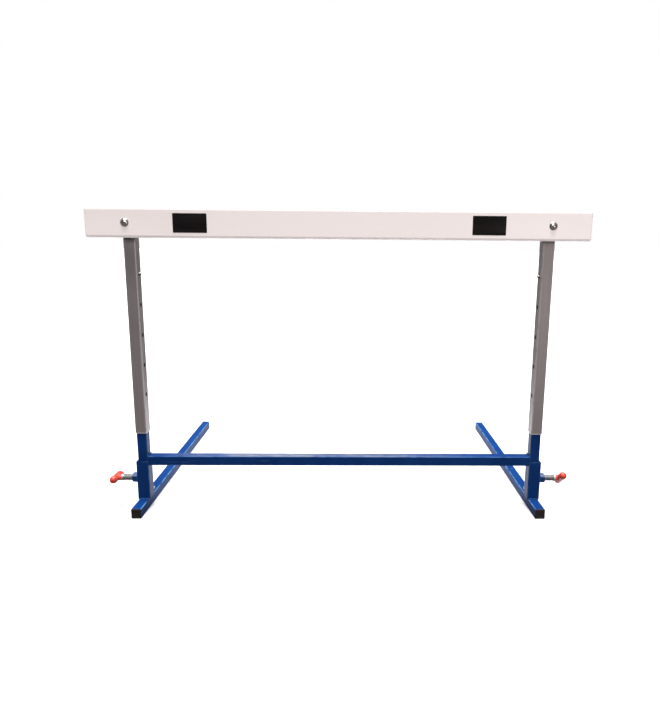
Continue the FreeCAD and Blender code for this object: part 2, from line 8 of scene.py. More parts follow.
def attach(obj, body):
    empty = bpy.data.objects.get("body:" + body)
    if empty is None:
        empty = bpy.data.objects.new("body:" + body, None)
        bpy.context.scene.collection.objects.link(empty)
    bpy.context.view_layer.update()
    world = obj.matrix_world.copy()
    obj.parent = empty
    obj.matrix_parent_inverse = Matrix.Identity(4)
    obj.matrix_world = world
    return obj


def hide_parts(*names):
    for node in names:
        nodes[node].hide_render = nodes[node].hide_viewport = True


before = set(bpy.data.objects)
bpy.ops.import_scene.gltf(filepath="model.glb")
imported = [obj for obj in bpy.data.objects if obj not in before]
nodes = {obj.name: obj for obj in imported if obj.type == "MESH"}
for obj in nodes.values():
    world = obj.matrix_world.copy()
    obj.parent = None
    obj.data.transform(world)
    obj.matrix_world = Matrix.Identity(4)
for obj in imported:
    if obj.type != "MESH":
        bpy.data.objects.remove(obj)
scene = bpy.context.scene
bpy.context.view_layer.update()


# The studio: a pale floor that runs to the horizon, a white surround, a wide
# soft light overhead, weaker ones in front and on the right, and a small one
# behind on the left. The camera stands a step in front of the hurdle.


class Wire:
    """An output of a shader node. Arithmetic on it adds Math nodes."""

    def __init__(self, socket):
        self.socket = socket

    def node(self, kind, settings=None, inputs=None, output=0):
        """Adds a node of a type, with its settings first and then its sockets."""
        tree = self.socket.id_data
        new = tree.nodes.new(f"ShaderNode{kind}")
        for name, value in (settings or {}).items():
            setattr(new, name, value)
        for name, value in (inputs or {}).items():
            if isinstance(value, Wire):
                tree.links.new(value.socket, new.inputs[name])
            else:
                new.inputs[name].default_value = value
        return Wire(new.outputs[output])

    def axis(self, letter):
        """One coordinate of a place or a direction."""
        return self.node("SeparateXYZ", None, {0: self}, "XYZ".index(letter))

    def calc(self, operation, *values):
        """Adds a Math node, which takes wires and numbers alike."""
        return self.node("Math", {"operation": operation}, dict(enumerate(values)))

    def __add__(self, other):
        return self.calc("ADD", self, other)

    __radd__ = __add__

    def __sub__(self, other):
        return self.calc("SUBTRACT", self, other)

    def __rsub__(self, other):
        return self.calc("SUBTRACT", other, self)

    def __mul__(self, other):
        return self.calc("MULTIPLY", self, other)

    __rmul__ = __mul__

    def __abs__(self):
        return self.calc("ABSOLUTE", self)

    def step(self, low, high):
        """Goes smoothly from 0 at low to 1 at high, whichever of them is larger."""
        ends = (low, high, 0, 1) if low < high else (high, low, 1, 0)
        names = ("From Min", "From Max", "To Min", "To Max")
        settings = {"interpolation_type": "SMOOTHSTEP"}
        return self.node("MapRange", settings, {"Value": self, **dict(zip(names, ends))})

    def mix(self, without, full):
        """Blends two colours, with this wire as the share of the second."""
        values = {0: self, 6: without, 7: full}
        values = {k: (*v, 1) if isinstance(v, tuple) else v for k, v in values.items()}
        return self.node("Mix", {"data_type": "RGBA"}, values, 2)


world = bpy.data.worlds.new("surround")
world.use_nodes = True
scene.world = world
sky = Wire(world.node_tree.nodes.new("ShaderNodeTexCoord").outputs["Generated"])
altitude = sky.axis("Z")
seen = sky.node("LightPath")
ambient = 0.10 + altitude.step(0.0, 0.9) * 0.45
background = world.node_tree.nodes["Background"]
world.node_tree.links.new((seen + (1 - seen) * ambient).socket, background.inputs["Strength"])
background.inputs["Color"].default_value = (1, 1, 1, 1)


def lamp(name, kind, place, aim, power, **settings):
    """Adds a lamp at a place, aimed at a point and hidden from the camera."""
    light = bpy.data.lights.new(name, kind)
    light.energy = power
    for key, value in settings.items():
        setattr(light, key, value)
    holder = bpy.data.objects.new(name, light)
    scene.collection.objects.link(holder)
    holder.location = place
    holder.rotation_euler = (Vector(aim) - Vector(place)).to_track_quat("-Z", "Y").to_euler()
    holder.visible_camera = False


def panel(width, height):
    """The size of a flat lamp, in metres."""
    return {"shape": "RECTANGLE", "size": width, "size_y": height}


lamp("ceiling_light", "SUN", (0, 0.05, 3), (0, 0, 0), 11.5, angle=math.radians(38))
lamp("front_light", "AREA", (0.0, -3.4, 2.6), (0, -0.3, 0.5), 73, **panel(3.0, 1.4))
lamp(
    "right_light", "AREA", (1.9, -3.2, 0.4), (0.5, -0.3, 0.3), 17,
    color=(1, 0.93, 0.90), **panel(1.2, 0.9),
)
lamp("rear_light", "AREA", (-0.7, 3.2, 1.75), (-0.1, -0.275, 0.14), 8, **panel(1.5, 0.5))


def backdrop(name, place, colour, width=80, depth=80):
    """Lays a matt level sheet that isn't part of the hurdle."""
    bpy.ops.mesh.primitive_plane_add(size=1, location=place)
    sheet = bpy.context.object
    sheet.scale = (width, depth, 1)
    sheet.name = name
    paint = bpy.data.materials.new(name)
    paint.use_nodes = True
    shader = paint.node_tree.nodes["Principled BSDF"]
    shader.inputs["Base Color"].default_value = (*colour, 1)
    shader.inputs["Roughness"].default_value = 0.9
    shader.inputs["Specular IOR Level"].default_value = 0.1
    sheet.data.materials.append(paint)
    bpy.ops.object.transform_apply(location=False, rotation=False, scale=True)
    return sheet


# The camera sees the pale floor. The sheet under it bounces the light back, most
# of it between the feet and little in front, so that the fronts stay shaded.
floor = backdrop("floor", (0, 0, 0), (0.46, 0.46, 0.462))
floor.visible_diffuse = floor.visible_glossy = floor.visible_shadow = False
bounce = backdrop("bounce_sheet", (0, 0, -0.002), (0.135, 0.132, 0.13))
bounce.visible_camera = False
paint = bounce.data.materials[0]
place = Wire(paint.node_tree.nodes.new("ShaderNodeTexCoord").outputs["Object"])
depth = place.axis("Y")
between = depth.step(-0.40, -0.15) * depth.step(1.1, 0.4)
pale = between.mix((0.060, 0.058, 0.056), (0.58, 0.58, 0.60))
shader = paint.node_tree.nodes["Principled BSDF"]
paint.node_tree.links.new(pale.socket, shader.inputs["Base Color"])

# A narrow flag over the board takes most of the light from above off its top.
flag = backdrop("flag", (0, -0.30, 0.855), (0, 0, 0), 1.24, 0.046)
flag.visible_camera = flag.visible_diffuse = flag.visible_glossy = False

view = bpy.data.cameras.new("camera")
view.lens = 28.13
view.shift_x = -0.0399
view.shift_y = -0.0282
camera = bpy.data.objects.new("camera", view)
scene.collection.objects.link(camera)
camera.matrix_world = (
    Matrix.Translation((0.0244, -1.6774, 0.690))
    @ Matrix.Rotation(math.radians(-0.93), 4, "Z")
    @ Matrix.Rotation(math.radians(90 - 10.2), 4, "X")
    @ Matrix.Rotation(math.radians(0.48), 4, "Z")
)
scene.camera = camera
scene.view_settings.view_transform = "Standard"


# The feet: square steel tubes that lie on the ground and run back from the
# board. They are powder coated blue after welding, with a fine orange peel and a
# few rubbed marks, and their corners carry a painted highlight in a paler blue.

SIDES = {"left": -1, "right": 1}
TUBE_HALF = 0.0125
TUBE_X = 0.506
BASE_X = 0.50755
UPRIGHT_Y = -0.275
FOOT_TOP = 2 * TUBE_HALF
FOOT_END = 0.35


def surface(name):
    """Starts a material and returns it with a wire of its object coordinates."""
    material = bpy.data.materials.new(name)
    material.use_nodes = True
    place = material.node_tree.nodes.new("ShaderNodeTexCoord").outputs["Object"]
    return material, Wire(place)


def shade(material, **sockets):
    """Sets sockets of a material's shader to numbers, colours or wires."""
    shader = material.node_tree.nodes["Principled BSDF"]
    for name, value in sockets.items():
        socket = shader.inputs[name.replace("_", " ")]
        if isinstance(value, Wire):
            material.node_tree.links.new(value.socket, socket)
        else:
            socket.default_value = (*value, 1) if isinstance(value, tuple) else value


def grain(place, scale, detail=3.0, stretch=(1, 1, 1)):
    """Noise with features of about 1 / scale metres, drawn out along an axis."""
    where = place.node("VectorMath", {"operation": "MULTIPLY"}, {0: place, 1: stretch})
    return place.node("TexNoise", None, {"Vector": where, "Scale": scale, "Detail": detail})


def relief(height, strength, depth):
    """Bump from a height between 0 and 1, its full depth given in metres."""
    return height.node("Bump", None, {"Height": height, "Strength": strength, "Distance": depth})


def offset(place, axis, centre):
    """Distance from a plane across one axis. Along x it counts from both sides' tubes."""
    along = place.axis(axis)
    return abs((abs(along) if axis == "X" else along) - centre)


def corners(place, half, width=0.0026, **centres):
    """1 along the corners of a square tube, given its half width and its two centres."""
    one, other = (offset(place, axis, centre) for axis, centre in centres.items())
    return one.calc("MINIMUM", one, other).step(half - width, half - 0.4 * width)


def blue_coat(
    name, scratch_way, half=TUBE_HALF, edge_highlight=(0.024, 0.080, 0.200), sheen=0.06, wear_and_painted_light=None, **centres
):
    """The blue powder coat on one kind of tube, with a painted highlight along its corners."""
    material, place = surface(name)
    cloud = grain(place, 16).step(0.35, 0.7)
    lines = grain(place, 60, 6, scratch_way).step(0.63, 0.70)
    rubs = lines * grain(place, 11).step(0.48, 0.68)
    chips = grain(place, 420, 4).step(0.66, 0.72) * grain(place, 30).step(0.55, 0.7)
    # Paler blue along the corners: a painted highlight.
    corner_highlight = corners(place, half, **centres) * grain(place, 38, 4).step(0.28, 0.60)
    peel = grain(place, 650, 2)
    tone = (cloud * 0.8).mix((0.0024, 0.0195, 0.092), (0.0036, 0.0260, 0.112))
    tone = (corner_highlight * 0.85).mix(tone, edge_highlight)
    tone = (rubs * 0.4).mix(tone, (0.045, 0.13, 0.27))
    tone = (chips * 0.7).mix(tone, (0.12, 0.17, 0.24))
    # An extra mark per tube: some are wear, some are painted highlight, sheen or shade.
    if wear_and_painted_light:
        amount, wear_and_light_tone = wear_and_painted_light(place)
        tone = amount.mix(tone, wear_and_light_tone)
    shade(
        material,
        Base_Color=tone,
        Roughness=0.30 + cloud * 0.07 + rubs * 0.14 + peel * 0.06,
        Normal=relief(peel * 0.8 + rubs * 0.3 - chips * 0.6, 0.35, 0.00025),
        Specular_IOR_Level=sheen,
    )
    return material


def dress(material, *names):
    """Gives CAD nodes a finish, on both sides where a name has no side."""
    for name in names:
        for node in (name, f"{name}_left", f"{name}_right"):
            if node in nodes:
                nodes[node].material_slots[0].material = material


foot_coat = blue_coat(
    "blue_foot", (1, 0.08, 1), edge_highlight=(0.070, 0.185, 0.330), sheen=0.02, X=BASE_X, Z=TUBE_HALF
)
dress(foot_coat, "foot_tube")


# End plugs of the feet: black moulded polyethylene, a flat head with a shallow
# panel and a hollow cup that is hammered into the tube.

PLUG_HEAD = 0.003
PLUG_LENGTH = 0.017

black_plastic, place = surface("black_plastic")
pits = grain(place, 1400, 2)
dull = grain(place, 60, 4).step(0.4, 0.7)
scuffs = grain(place, 260, 5).step(0.6, 0.7) * grain(place, 40).step(0.5, 0.65)
tone = (dull * 0.6).mix((0.009, 0.0065, 0.006), (0.017, 0.013, 0.0115))
shade(
    black_plastic,
    Base_Color=(scuffs * 0.5).mix(tone, (0.05, 0.045, 0.042)),
    Roughness=0.48 + dull * 0.15 + scuffs * 0.1,
    Normal=relief(pits + scuffs * 0.5, 0.4, 0.0002),
    Specular_IOR_Level=0.22,
)


def begin(name):
    """Names the primitive just added and puts its place into its mesh."""
    piece = bpy.context.object
    piece.name = name
    bpy.ops.object.transform_apply(location=True, rotation=True, scale=True)
    return piece


def alone(*pieces):
    """Leaves edit mode and selects only these pieces, the first one active."""
    if bpy.context.mode == "EDIT_MESH":
        bpy.ops.object.mode_set(mode="OBJECT")
    bpy.ops.object.select_all(action="DESELECT")
    for piece in pieces:
        piece.select_set(True)
    bpy.context.view_layer.objects.active = pieces[0]


def pick(piece, part, test):
    """Selects in edit mode what passes a test of its middle and its normal or run."""
    if bpy.context.mode != "EDIT_MESH":
        alone(piece)
        bpy.ops.object.mode_set(mode="EDIT")
    bpy.ops.mesh.select_mode(type=part)
    bpy.ops.mesh.select_all(action="DESELECT")
    mesh = bmesh.from_edit_mesh(piece.data)
    for item in {"FACE": mesh.faces, "EDGE": mesh.edges, "VERT": mesh.verts}[part]:
        if part == "VERT":
            chosen = test(item.co, item.normal)
        elif part == "EDGE":
            first, last = (vert.co for vert in item.verts)
            chosen = test((first + last) / 2, (last - first).normalized())
        else:
            chosen = test(item.calc_center_median(), item.normal)
        item.select_set(bool(chosen))
    bmesh.update_edit_mesh(piece.data)


def modify(piece, kind, **settings):
    """Adds a modifier and applies it."""
    alone(piece)
    change = piece.modifiers.new(kind.lower(), kind)
    for key, value in settings.items():
        setattr(change, key, value)
    bpy.ops.object.modifier_apply(modifier=change.name)


def outward(piece):
    """Merges doubles and turns every face outwards."""
    pick(piece, "FACE", lambda middle, normal: True)
    bpy.ops.mesh.remove_doubles(threshold=0.000004)
    bpy.ops.mesh.select_all(action="SELECT")
    bpy.ops.mesh.normals_make_consistent(inside=False)
    alone(piece)


def move(piece, place=(0, 0, 0), turn=(0, 0, 0)):
    """Turns a piece about the origin, shifts it, and keeps both in its mesh."""
    alone(piece)
    piece.rotation_euler = [math.radians(angle) for angle in turn]
    piece.location = place
    bpy.ops.object.transform_apply(location=True, rotation=True, scale=True)


def twin(piece, name):
    """Copies a piece, with a mesh of its own."""
    alone(piece)
    bpy.ops.object.duplicate()
    copy = bpy.context.object
    copy.name = name
    return copy


def settle(piece, material, body, slot, *stands_for, angle=35):
    """Gives a finished piece its shading, finish and body; its slot is not used."""
    alone(piece)
    bpy.ops.object.shade_smooth_by_angle(angle=math.radians(angle))
    piece.data.materials.clear()
    piece.data.materials.append(material)
    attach(piece, body)
    if stands_for:
        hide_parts(*stands_for)


def draw(depth, scale=1.0, centre=(0, 0, 0)):
    """Extrudes the selected faces along z and scales their new ends."""
    bpy.ops.mesh.extrude_region_move(TRANSFORM_OT_translate={"value": (0, 0, depth)})
    bpy.ops.transform.resize(value=(scale, scale, 1), center_override=centre)


def plug(width, wall):
    """A square plug with its face up at z = 0 and a hollow cup under its head."""
    bpy.ops.mesh.primitive_cube_add(
        size=1, location=(0, 0, -PLUG_HEAD / 2), scale=(width, width, PLUG_HEAD)
    )
    piece = begin("plug")
    pick(piece, "EDGE", lambda middle, way: abs(way.z) > 0.9)
    bpy.ops.mesh.bevel(offset=0.0026, segments=5)
    pick(piece, "FACE", lambda middle, normal: normal.z > 0.9)
    bpy.ops.transform.translate(value=(0, 0, -0.0007))
    draw(0.0005, 1 - 0.0006 / width)
    draw(0.0002, 1 - 0.0012 / width)
    draw(0, 0.74)
    draw(-0.0005, 0.95)
    pick(piece, "FACE", lambda middle, normal: normal.z < -0.9)
    draw(0, 1 - 2 * wall / width)
    draw(PLUG_HEAD - PLUG_LENGTH, 0.97)
    draw(0, 1 - 0.003 / width)
    draw(PLUG_LENGTH - PLUG_HEAD - 0.0005, 0.98)
    outward(piece)
    return piece


foot_plug = plug(2 * TUBE_HALF, 0.0016)
for side, sign in SIDES.items():
    for end, way in (("front", -1), ("rear", 1)):
        piece = twin(foot_plug, f"{end}_plug_{side}")
        move(piece, (sign * BASE_X, way * FOOT_END, TUBE_HALF), (-90 * way, 0, 0))
        settle(piece, black_plastic, f"base_{side}", "black_plastic", f"foot_plug_{end}_{side}")
bpy.data.objects.remove(foot_plug)


# The counterweight in each foot is a plain iron bar. A zinc-plated hexagon bolt
# behind the socket holds it, and its chamfered head stands on the tube.

SMALL_HEX = 0.013
WEIGHT_BOLT_Y = -0.229

iron, place = surface("mill_iron")
skin = grain(place, 120, 5).step(0.4, 0.65)
shade(
    iron,
    Base_Color=skin.mix((0.06, 0.055, 0.05), (0.14, 0.12, 0.11)),
    Metallic=0.7,
    Roughness=0.55 + skin * 0.2,
    Normal=relief(grain(place, 500), 0.4, 0.0003),
)
dress(iron, "counterweight")

zinc, place = surface("zinc_plate")
blotch = grain(place, 220, 4).step(0.4, 0.65)
stain = grain(place, 500, 5).step(0.62, 0.75)
tone = (blotch * 0.7).mix((0.44, 0.45, 0.465), (0.32, 0.325, 0.33))
shade(
    zinc,
    Base_Color=(stain * 0.5).mix(tone, (0.20, 0.19, 0.175)),
    Metallic=1.0,
    Roughness=0.27 + blotch * 0.14 + stain * 0.2,
    Normal=relief(grain(place, 1500, 2), 0.25, 0.0001),
)


def combine(piece, other, operation):
    """Joins, cuts or intersects a piece with another one, which is then gone."""
    modify(piece, "BOOLEAN", operation=operation, object=other, solver="EXACT")
    bpy.data.objects.remove(other)


def hexagon(across, height, both_ends=False):
    """A hexagon prism up from z = 0, its corners chamfered at the top or at both ends."""
    radius = across / 2 / math.cos(math.radians(30))
    bpy.ops.mesh.primitive_cylinder_add(
        vertices=6, radius=radius, depth=height, location=(0, 0, height / 2)
    )
    piece = begin("hexagon")
    crown = across * 0.475
    reach = height + 0.002
    chamfer_slope = 0.577
    for upside_down in (True, False) if both_ends else (False,):
        bpy.ops.mesh.primitive_cone_add(
            vertices=96, radius1=crown + reach / chamfer_slope, radius2=crown, depth=reach,
            location=(0, 0, height / 2 - 0.001),
        )
        cone = begin("cone")
        if upside_down:
            move(cone, (0, 0, height), (180, 0, 0))
        combine(piece, cone, "INTERSECT")
    return piece


for side, sign in SIDES.items():
    bolt = hexagon(SMALL_HEX, 0.0053)
    bpy.ops.mesh.primitive_cylinder_add(
        vertices=32, radius=0.004, depth=0.018, location=(0, 0, -0.008)
    )
    combine(bolt, begin("shank"), "UNION")
    outward(bolt)
    bolt.name = f"weight_bolt_{side}"
    move(bolt, (sign * BASE_X, WEIGHT_BOLT_Y, FOOT_TOP), (0, 0, 30 + 9 * sign))
    settle(bolt, zinc, f"base_{side}", "zinc", f"counterweight_bolt_{side}")


# The sockets: short pieces of wider square tube, welded across the feet, that
# the uprights stand in. A hexagon nut for the clamp screw is welded on the
# outer face of each. The welds are rows of droplets under the same blue coat.

SOCKET_HALF = 0.01575
SCREW_Z = 0.078
NUT_ACROSS = 0.024
NUT_HEIGHT = 0.014
NUT_SEAM = 0.0133
PLUG_WELD_Y = -0.089


def rim_highlight(place):
    """A painted highlight along the cut upper end of a socket."""
    amount = place.axis("Z").step(0.1240, 0.1256) * grain(place, 60, 4).step(0.3, 0.6) * 0.4
    return amount, (0.06, 0.12, 0.26)


socket_coat = blue_coat(
    "blue_socket", (1, 1, 0.08), SOCKET_HALF, wear_and_painted_light=rim_highlight, X=BASE_X, Y=UPRIGHT_Y
)
dress(socket_coat, "socket")

weld_coat, place = surface("blue_weld")
lumps = grain(place, 300, 4)
burnt = grain(place, 120, 3).step(0.4, 0.7)
shade(
    weld_coat,
    Base_Color=burnt.mix((0.0020, 0.023, 0.096), (0.006, 0.045, 0.135)),
    Roughness=0.30 + burnt * 0.1,
    Normal=relief(lumps, 0.5, 0.0004),
    Specular_IOR_Level=0.16,
)


def bead(first, last, width):
    """A straight run of weld, as droplets laid over one another."""
    bpy.ops.mesh.primitive_uv_sphere_add(
        segments=12, ring_count=8, radius=width / 2, location=first
    )
    piece = begin("bead")
    run = Vector(last) - Vector(first)
    count = max(2, round(run.length / width / 0.42))
    modify(
        piece, "ARRAY", count=count, use_relative_offset=False,
        use_constant_offset=True, constant_offset_displace=run / (count - 1),
    )
    return piece


weld_noise = bpy.data.textures.new("weld_noise", "CLOUDS")
weld_noise.noise_scale = 0.004


def roughen(piece):
    """Gives a weld its small uneven lumps."""
    modify(
        piece, "DISPLACE", texture=weld_noise, strength=0.0006,
        texture_coords="GLOBAL", mid_level=0.5,
    )


def weld(name, body, runs, width=0.0042):
    """Melts runs of weld into one piece and roughens it a little."""
    alone(*[bead(first, last, width) for first, last in runs])
    bpy.ops.object.join()
    piece = bpy.context.object
    piece.name = name
    modify(piece, "REMESH", mode="VOXEL", voxel_size=0.00045)
    roughen(piece)
    modify(piece, "SMOOTH", factor=0.5, iterations=2)
    settle(piece, weld_coat, body, "blue_paint", angle=80)


for side, sign in SIDES.items():
    inner, outer = (sign * (BASE_X + way * TUBE_HALF) for way in (-1, 1))
    near, far = UPRIGHT_Y - SOCKET_HALF, UPRIGHT_Y + SOCKET_HALF
    low = FOOT_TOP - 0.0006
    seams = [((inner, y, FOOT_TOP), (outer, y, FOOT_TOP)) for y in (near - 0.0004, far + 0.0004)]
    seams += [((x, near + 0.002, low), (x, far - 0.002, low)) for x in (inner, outer)]
    weld(f"socket_weld_{side}", f"base_{side}", seams)

    seam_x = sign * (BASE_X + SOCKET_HALF + 0.0006)
    angles = [math.radians(30 + 60 * k) for k in range(7)]
    ring = [
        (seam_x, UPRIGHT_Y + NUT_SEAM * math.cos(angle), SCREW_Z + NUT_SEAM * math.sin(angle))
        for angle in angles
    ]
    weld(f"nut_weld_{side}", f"base_{side}", zip(ring, ring[1:]), width=0.0034)

    nut = hexagon(NUT_ACROSS, NUT_HEIGHT)
    bpy.ops.mesh.primitive_cylinder_add(
        vertices=48, radius=0.0081, depth=0.03, location=(0, 0, 0.009)
    )
    combine(nut, begin("thread_hole"), "DIFFERENCE")
    outward(nut)
    nut.name = f"welded_nut_{side}"
    move(nut, turn=(0, 0, 30))
    move(nut, (sign * (BASE_X + SOCKET_HALF), UPRIGHT_Y, SCREW_Z), (0, 90 * sign, 0))
    settle(nut, weld_coat, f"base_{side}", "blue_paint", f"clamp_nut_{side}", angle=20)

# One plug weld shows on the right foot, over the far end of the weight.
bpy.ops.mesh.primitive_uv_sphere_add(
    segments=24, ring_count=12, radius=0.0048,
    location=(BASE_X, PLUG_WELD_Y, FOOT_TOP), scale=(1, 1.25, 0.22),
)
dot = begin("plug_weld_right")
modify(dot, "SUBSURF", levels=1, render_levels=1)
roughen(dot)
settle(dot, weld_coat, "base_right", "blue_paint", angle=80)


# The clamp screws: zinc-plated threaded bar with a black pad at the tip, a
# smooth collar, and a red moulded T grip pushed on the outer end.

SCREW_TIP = 0.5218
COLLAR_X = 0.5620
PITCH = 0.002
THREAD_ROOT = 0.0067
GRIP_X = 0.581
TILTS = {"left": 4, "right": 37}

dress(black_plastic, "clamp_pad")

screw_steel, place = surface("screw_steel")
oil = grain(place, 240, 5).step(0.4, 0.7)
shade(
    screw_steel,
    Base_Color=(oil * 0.8).mix((0.36, 0.355, 0.36), (0.21, 0.21, 0.195)),
    Metallic=1.0,
    Roughness=0.42 + oil * 0.2,
    Normal=relief(grain(place, 1800, 2), 0.25, 0.0001),
)

turns = round((COLLAR_X - SCREW_TIP) / PITCH) + 2
bpy.ops.mesh.primitive_grid_add(x_subdivisions=4, y_subdivisions=1, size=PITCH)
thread = begin("thread")
pick(thread, "VERT", lambda spot, normal: spot.y > 0)
bpy.ops.mesh.delete(type="VERT")
pick(thread, "VERT", lambda spot, normal: True)
bpy.ops.transform.translate(value=(0, PITCH / 2, THREAD_ROOT))
for share in (0.3, 0.1):
    pick(thread, "VERT", lambda spot, normal: abs(spot.x) < PITCH * share)
    bpy.ops.transform.translate(value=(0, 0, 0.0006))
modify(thread, "SCREW", axis="X", screw_offset=PITCH, iterations=turns, steps=32, render_steps=32)
outward(thread)
length = COLLAR_X - SCREW_TIP + 0.002
for cut, way in ((PITCH, -1), (PITCH + length, 1)):
    pick(thread, "FACE", lambda middle, normal: True)
    bpy.ops.mesh.bisect(plane_co=(cut, 0, 0), plane_no=(way, 0, 0), use_fill=True, clear_outer=True)
move(thread, (-PITCH, 0, 0))
outward(thread)
bpy.ops.mesh.primitive_cylinder_add(
    vertices=40, radius=0.005, depth=0.030,
    location=(length + 0.006, 0, 0), rotation=(0, math.radians(90), 0),
)
combine(thread, begin("spigot"), "UNION")

red_plastic, place = surface("red_plastic")
mould = grain(place, 300, 3)
fade = grain(place, 45, 3).step(0.35, 0.7)
nicks = grain(place, 500, 4).step(0.64, 0.7) * grain(place, 60).step(0.5, 0.65)
tone = (fade * 0.8).mix((0.38, 0.022, 0.012), (0.46, 0.042, 0.026))
shade(
    red_plastic,
    Base_Color=(nicks * 0.5).mix(tone, (0.55, 0.20, 0.16)),
    Roughness=0.36 + fade * 0.1 + nicks * 0.2,
    Normal=relief(mould + nicks * 0.5, 0.15, 0.0003),
)


def grip():
    """A T grip with its bar along y, the bar's middle at the origin and its hub towards -x."""
    bpy.ops.mesh.primitive_uv_sphere_add(
        segments=32, ring_count=20, radius=0.0100, rotation=(math.radians(90), 0, 0)
    )
    bar = begin("bar")
    for way in (-1, 1):
        pick(bar, "VERT", lambda spot, normal: spot.y * way > 0.0001)
        bpy.ops.transform.translate(value=(0, way * 0.0205, 0))
    pick(bar, "EDGE", lambda middle, along: abs(along.y) > 0.99 and abs(middle.y) < 0.012)
    bpy.ops.mesh.subdivide(number_cuts=8)
    pick(bar, "VERT", lambda spot, normal: abs(spot.y) < 0.001)
    bpy.ops.transform.resize(
        value=(0.93, 1, 0.93), use_proportional_edit=True, proportional_size=0.024,
        proportional_edit_falloff="SMOOTH", center_override=(0, 0, 0),
    )
    alone(bar)
    bpy.ops.mesh.primitive_cone_add(
        vertices=40, radius1=0.0088, radius2=0.0078, depth=0.015,
        location=(-0.0075, 0, 0), rotation=(0, math.radians(90), 0),
    )
    combine(bar, begin("hub"), "UNION")
    modify(bar, "REMESH", mode="VOXEL", voxel_size=0.0006)
    modify(bar, "SMOOTH", factor=0.5, iterations=8)
    return bar


handle = grip()
for side, sign in SIDES.items():
    facing = (0, 0, 0 if sign > 0 else 180)
    piece = twin(thread, f"threaded_screw_{side}")
    move(piece, turn=facing)
    move(piece, (sign * SCREW_TIP, UPRIGHT_Y, SCREW_Z))
    settle(piece, screw_steel, f"clamp_{side}", "screw_steel", f"clamp_screw_{side}", angle=50)
    piece = twin(handle, f"t_grip_{side}")
    move(piece, turn=(-sign * TILTS[side], 0, 0))
    move(piece, turn=facing)
    move(piece, (sign * GRIP_X, UPRIGHT_Y, SCREW_Z))
    settle(piece, red_plastic, f"clamp_{side}", "red_grip", f"clamp_grip_{side}", angle=60)
bpy.data.objects.remove(thread)
bpy.data.objects.remove(handle)
dress(screw_steel, "clamp_collar")


# The inner frame: two blue uprights that stand in the sockets, and a cross
# member welded between them. Each end weld runs over the top and a little way
# down the front and the back, under the same blue coat.

HOLE_Z = 0.3012
HOLE_STEP = 0.0762
CROSS_Z = 0.1275
CROSS_TOP = CROSS_Z + TUBE_HALF
CROSS_END = 0.4935


def from_hole(place):
    """Distance from the nearest of the five height holes, seen along x."""
    above = place.axis("Z") - HOLE_Z
    lift = above.calc("PINGPONG", above, HOLE_STEP / 2)
    beyond = abs(above - 2 * HOLE_STEP).step(2.4 * HOLE_STEP, 2.6 * HOLE_STEP)
    across = offset(place, "Y", UPRIGHT_Y)
    square = lift * lift + across * across
    return square.calc("SQRT", square) + beyond


def hole_shade_and_grease(place):
    """Near-black spots on the inner uprights behind the height holes: painted shade of the holes,
    with some grease.
    """
    high = place.axis("Z").step(0.27, 0.28)
    smear = grain(place, 200, 4).step(0.2, 0.5)
    amount = from_hole(place).step(0.0075, 0.0030) * high * smear * 0.6
    return amount, (0.003, 0.006, 0.016)


def top_sheen(place):
    """A painted sheen on the top of the cross member, paler mostly left of its middle."""
    up = place.axis("Z").step(0.1385, 0.1398)
    along = place.axis("X")
    patch = grain(place, 9, 4, (1, 2, 1)).step(0.30, 0.55)
    fine = grain(place, 130, 6, (0.35, 1, 1)).step(0.30, 0.60)
    spread = along.step(-0.47, -0.22) * along.step(0.40, 0.02)
    amount = up * (0.3 + patch * 0.7) * (0.4 + fine * 0.6) * spread
    return amount, (0.094, 0.106, 0.142)


upright_coat = blue_coat("blue_upright", (1, 1, 0.05), wear_and_painted_light=hole_shade_and_grease, X=TUBE_X, Y=UPRIGHT_Y)
dress(upright_coat, "inner_upright")
cross_coat = blue_coat("blue_cross", (0.08, 1, 1), wear_and_painted_light=top_sheen, Y=UPRIGHT_Y, Z=CROSS_Z)
dress(cross_coat, "cross_member")

for side, sign in SIDES.items():
    x = sign * CROSS_END
    front, back = UPRIGHT_Y - TUBE_HALF, UPRIGHT_Y + TUBE_HALF
    seams = [((x, front, CROSS_TOP), (x, back, CROSS_TOP))]
    seams += [((x, y, 0.1290), (x, y, CROSS_TOP)) for y in (front - 0.0001, back + 0.0001)]
    weld(f"cross_weld_{side}", "lower_frame", seams, width=0.0040)


# Guide plugs of pale nylon in the tops of the inner uprights keep the outer
# ones from rattling. A leaf spring under each pushes out the steel button,
# which is bright on top, with painted shade near black on its underside.

BUTTON_Z = HOLE_Z + 4 * HOLE_STEP

nylon, place = surface("pale_nylon")
haze = grain(place, 90, 3)
shade(
    nylon,
    Base_Color=haze.mix((0.70, 0.68, 0.63), (0.78, 0.76, 0.71)),
    Roughness=0.45 + haze * 0.1,
    Normal=relief(grain(place, 900), 0.2, 0.0002),
)
dress(nylon, "guide_plug")

spring_steel, place = surface("spring_steel")
temper = grain(place, 70, 3).step(0.35, 0.7)
shade(
    spring_steel,
    Base_Color=temper.mix((0.34, 0.33, 0.32), (0.20, 0.21, 0.25)),
    Metallic=1.0,
    Roughness=0.32 + temper * 0.15,
    Normal=relief(grain(place, 800), 0.2, 0.0001),
)
dress(spring_steel, "snap_spring")

button_steel, place = surface("button_steel")
wear_and_painted_light = grain(place, 700, 4).step(0.4, 0.7)
# Painted shade: the lower half of the button is near black.
underside_shade = place.axis("Z").step(BUTTON_Z - 0.0002, BUTTON_Z - 0.0016)
tone = (wear_and_painted_light * 0.6).mix((0.66, 0.65, 0.64), (0.48, 0.47, 0.46))
shade(
    button_steel,
    Base_Color=(underside_shade * 0.95).mix(tone, (0.012, 0.011, 0.010)),
    Metallic=0.45,
    Roughness=0.24 + wear_and_painted_light * 0.15 + underside_shade * 0.2,
    Normal=relief(grain(place, 2200, 2), 0.2, 0.0001),
)
dress(button_steel, "snap_button")


